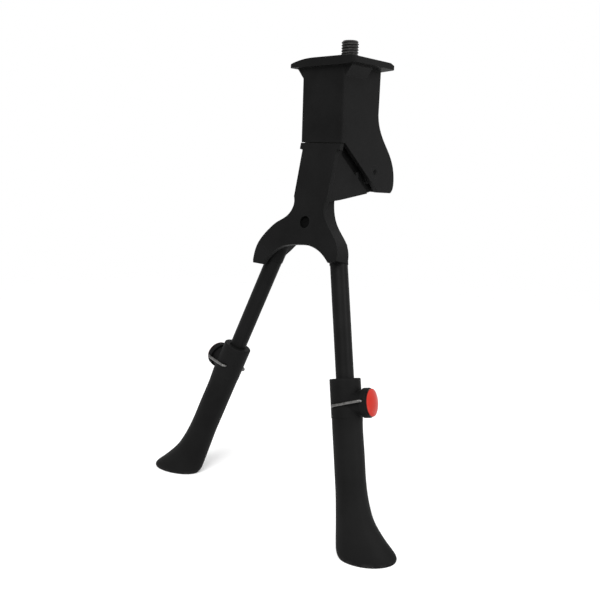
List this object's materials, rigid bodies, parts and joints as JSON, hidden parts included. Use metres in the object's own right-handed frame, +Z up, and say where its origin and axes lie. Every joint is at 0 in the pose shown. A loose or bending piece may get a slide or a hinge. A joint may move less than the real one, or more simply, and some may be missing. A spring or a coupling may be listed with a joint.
{
  "type": "bicycle kickstand",
  "caption": "Two-legged bicycle centre stand: cast mount with a bolt, folding leg carrier, one hinged leg, sliding moulded feet with red-capped knobs.",
  "frame": {"origin": "on the mounting bolt's axis, in the plane of the flange's seat", "axes": "+Z up along the bolt, +X across the bicycle towards the fixed leg, +Y to the rear, the way the legs fold"},
  "size_m": [0.1769, 0.1091, 0.269],
  "materials": {
    "black_casting": "satin black paint on cast metal",
    "black_rod": "satin black coated bar",
    "dark_steel": "blackened steel",
    "bright_steel": "bright spring wire",
    "black_moulding": "matt black moulding",
    "red_moulding": "gloss red"
  },
  "bodies": {
    "mount": {"mount_body": "black_casting", "mounting_bolt": "dark_steel", "pivot_pin": "dark_steel", "pivot_clip": "dark_steel", "toggle_spring": "bright_steel", "mount_spring_pin": "dark_steel"},
    "carrier": {"leg_carrier": "black_casting", "carrier_spring_pin": "dark_steel", "fixed_leg": "black_rod", "fixed_leg_pin": "dark_steel", "hinge_pin": "dark_steel", "hinge_clip": "dark_steel"},
    "swing_leg": {"hinged_leg_head": "black_casting", "hinged_leg": "black_rod", "hinged_leg_pin": "dark_steel"},
    "right_foot": {"right_foot": "black_moulding", "right_wire": "bright_steel"},
    "right_knob": {"right_knob": "black_moulding", "right_knob_cap": "red_moulding"},
    "left_foot": {"left_foot": "black_moulding", "left_wire": "bright_steel"},
    "left_knob": {"left_knob": "black_moulding", "left_knob_cap": "red_moulding"}
  },
  "joints": [
    {"name": "main_fold", "type": "hinge", "parent": "mount", "child": "carrier", "pos_m": [0, 0.0106, -0.0612], "axis": [1, 0, 0], "range_deg": [0, 100], "deforming": ["toggle_spring"]},
    {"name": "leg_close", "type": "hinge", "parent": "carrier", "child": "swing_leg", "pos_m": [-0.001, -0.0254, -0.0918], "axis": [0, -0.9715, 0.2368], "range_deg": [0, 36]},
    {"name": "right_foot_slide", "type": "slide", "parent": "carrier", "child": "right_foot", "axis": [0.2874, -0.2268, -0.9306], "range_m": [0, 0.048]},
    {"name": "right_knob_pull", "type": "slide", "parent": "right_foot", "child": "right_knob", "axis": [0.9485, 0.2026, 0.2435], "range_m": [0, 0.0015], "stiffness_N_per_m": 4000, "deforming": ["right_wire"]},
    {"name": "left_foot_slide", "type": "slide", "parent": "swing_leg", "child": "left_foot", "axis": [-0.2874, -0.2268, -0.9306], "range_m": [0, 0.048]},
    {"name": "left_knob_pull", "type": "slide", "parent": "left_foot", "child": "left_knob", "axis": [-0.9485, 0.2026, 0.2435], "range_m": [0, 0.0015], "stiffness_N_per_m": 4000, "deforming": ["left_wire"]}
  ],
  "couplings": [
    {"joint": "leg_close", "follows": "main_fold", "ratio": 0.36}
  ]
}
